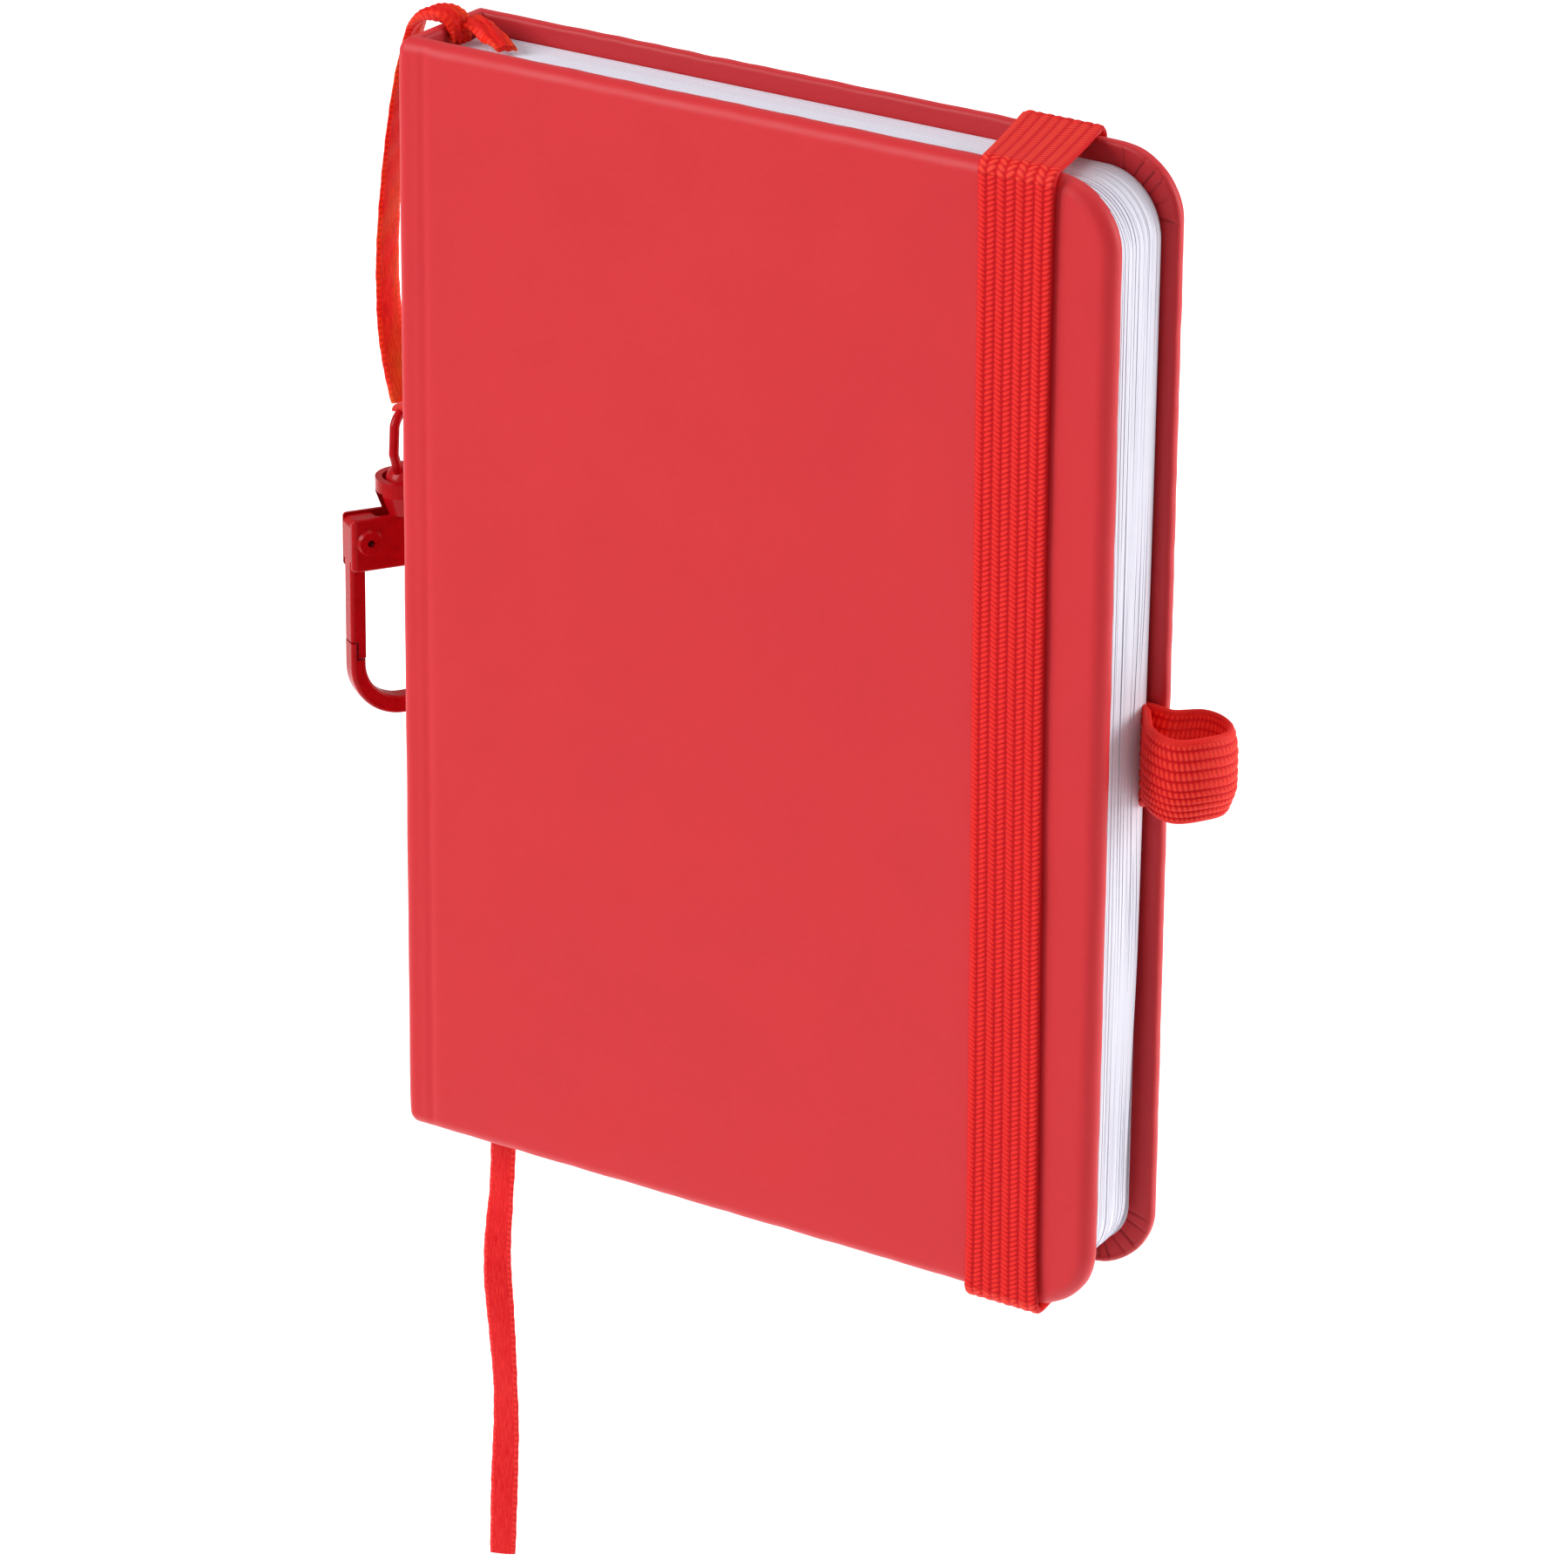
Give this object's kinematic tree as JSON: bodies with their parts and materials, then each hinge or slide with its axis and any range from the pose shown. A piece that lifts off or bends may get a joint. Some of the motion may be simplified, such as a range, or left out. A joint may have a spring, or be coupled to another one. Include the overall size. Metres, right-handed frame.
{
  "type": "pocket notebook",
  "caption": "Pocket notebook with hard covers, elastic closure band, pen loop, page ribbon, and a strap with a swivel snap hook.",
  "frame": {"origin": "middle of the back cover's outer face", "axes": "+X to the fore-edge, +Y out of the back cover, +Z to the head of the pages"},
  "size_m": [0.1305, 0.0232, 0.217],
  "materials": {
    "cover_skin": "soft-touch matt",
    "greyboard": "matt",
    "paper": "matt",
    "elastic": "knitted",
    "satin": "satin",
    "red_enamel": "gloss",
    "spring_steel": "bright"
  },
  "bodies": {
    "back_cover": {"back_board": "greyboard", "back_cover_skin": "cover_skin", "back_endpaper": "paper", "back_flyleaf": "paper", "pen_loop": "elastic", "pen_loop_tab": "elastic", "band_head_run": "elastic", "band_tail_run": "elastic", "band_anchors": "elastic", "section_8": "paper"},
    "spine": {"spine_board": "greyboard", "spine_skin": "cover_skin", "spine_lining": "paper", "strap_root": "satin", "strap_over": "satin", "strap_tail": "satin"},
    "front_cover": {"front_board": "greyboard", "front_cover_skin": "cover_skin", "front_endpaper": "paper"},
    "leaves_1": {"section_1": "paper", "front_flyleaf": "paper"},
    "leaves_2": {"section_2": "paper"},
    "leaves_3": {"section_3": "paper"},
    "leaves_4": {"section_4": "paper"},
    "leaves_5": {"section_5": "paper", "bookmark_inner": "satin", "bookmark_ribbon": "satin"},
    "leaves_6": {"section_6": "paper"},
    "leaves_7": {"section_7": "paper"},
    "closure_band": {"band_front_run": "elastic"},
    "strap": {"strap_hang": "satin", "strap_fold": "satin", "swivel_eye": "red_enamel", "swivel_stud": "red_enamel"},
    "hook": {"hook_body": "red_enamel", "gate_rivet": "red_enamel", "gate_spring": "spring_steel"},
    "gate": {"gate": "red_enamel"}
  },
  "joints": [
    {"name": "spine_hinge", "type": "hinge", "parent": "back_cover", "child": "spine", "pos_m": [-0.0517, -0.0003, 0], "axis": [0, 0, -1], "range_deg": [0, 90]},
    {"name": "front_cover_hinge", "type": "hinge", "parent": "spine", "child": "front_cover", "pos_m": [-0.0517, -0.0177, 0], "axis": [0, 0, -1], "range_deg": [0, 90], "deforming": ["band_front_run", "band_head_run", "band_tail_run"]},
    {"name": "leaves_7_hinge", "type": "hinge", "parent": "back_cover", "child": "leaves_7", "pos_m": [-0.0487, -0.0045, 0], "axis": [0, 0, -1], "range_deg": [0, 3]},
    {"name": "leaves_6_hinge", "type": "hinge", "parent": "leaves_7", "child": "leaves_6", "pos_m": [-0.0487, -0.006, 0], "axis": [0, 0, -1], "range_deg": [0, 3]},
    {"name": "leaves_5_hinge", "type": "hinge", "parent": "leaves_6", "child": "leaves_5", "pos_m": [-0.0487, -0.0075, 0], "axis": [0, 0, -1], "range_deg": [0, 3]},
    {"name": "leaves_4_hinge", "type": "hinge", "parent": "leaves_5", "child": "leaves_4", "pos_m": [-0.0487, -0.009, 0], "axis": [0, 0, -1], "range_deg": [0, 163]},
    {"name": "leaves_3_hinge", "type": "hinge", "parent": "leaves_4", "child": "leaves_3", "pos_m": [-0.0487, -0.0105, 0], "axis": [0, 0, -1], "range_deg": [0, 3]},
    {"name": "leaves_2_hinge", "type": "hinge", "parent": "leaves_3", "child": "leaves_2", "pos_m": [-0.0487, -0.012, 0], "axis": [0, 0, -1], "range_deg": [0, 3]},
    {"name": "leaves_1_hinge", "type": "hinge", "parent": "leaves_2", "child": "leaves_1", "pos_m": [-0.0487, -0.0135, 0], "axis": [0, 0, -1], "range_deg": [0, 3]},
    {"name": "band_slip", "type": "slide", "parent": "back_cover", "child": "closure_band", "axis": [0, 1, 0], "range_m": [0, 0.0205], "deforming": ["band_front_run", "band_head_run", "band_tail_run"]},
    {"name": "strap_swing", "type": "hinge", "parent": "spine", "child": "strap", "pos_m": [-0.056, -0.00814, 0.07167], "axis": [0, 1, 0], "range_deg": [0, 100], "deforming": ["strap_hang"]},
    {"name": "hook_swivel", "type": "hinge", "parent": "strap", "child": "hook", "pos_m": [-0.0612, -0.00375, 0.009], "axis": [0, 0, 1], "continuous": true},
    {"name": "gate_hinge", "type": "hinge", "parent": "hook", "child": "gate", "pos_m": [-0.06439, -0.00866, 0.0023], "axis": [0.8387, -0.5446, 0], "range_deg": [0, 26], "stiffness_Nm_per_rad": 0.01, "springref_deg": -14.32, "deforming": ["gate_spring"]}
  ],
  "couplings": [
    {"joint": "spine_hinge", "follows": "front_cover_hinge", "ratio": 1},
    {"joint": "leaves_7_hinge", "follows": "front_cover_hinge", "ratio": 0.03},
    {"joint": "leaves_6_hinge", "follows": "front_cover_hinge", "ratio": 0.03},
    {"joint": "leaves_5_hinge", "follows": "front_cover_hinge", "ratio": 0.03},
    {"joint": "leaves_4_hinge", "follows": "front_cover_hinge", "ratio": 1.8},
    {"joint": "leaves_3_hinge", "follows": "front_cover_hinge", "ratio": 0.03},
    {"joint": "leaves_2_hinge", "follows": "front_cover_hinge", "ratio": 0.03},
    {"joint": "leaves_1_hinge", "follows": "front_cover_hinge", "ratio": 0.03},
    {"joint": "band_slip", "follows": "front_cover_hinge", "m_per_rad": 0.012987}
  ]
}
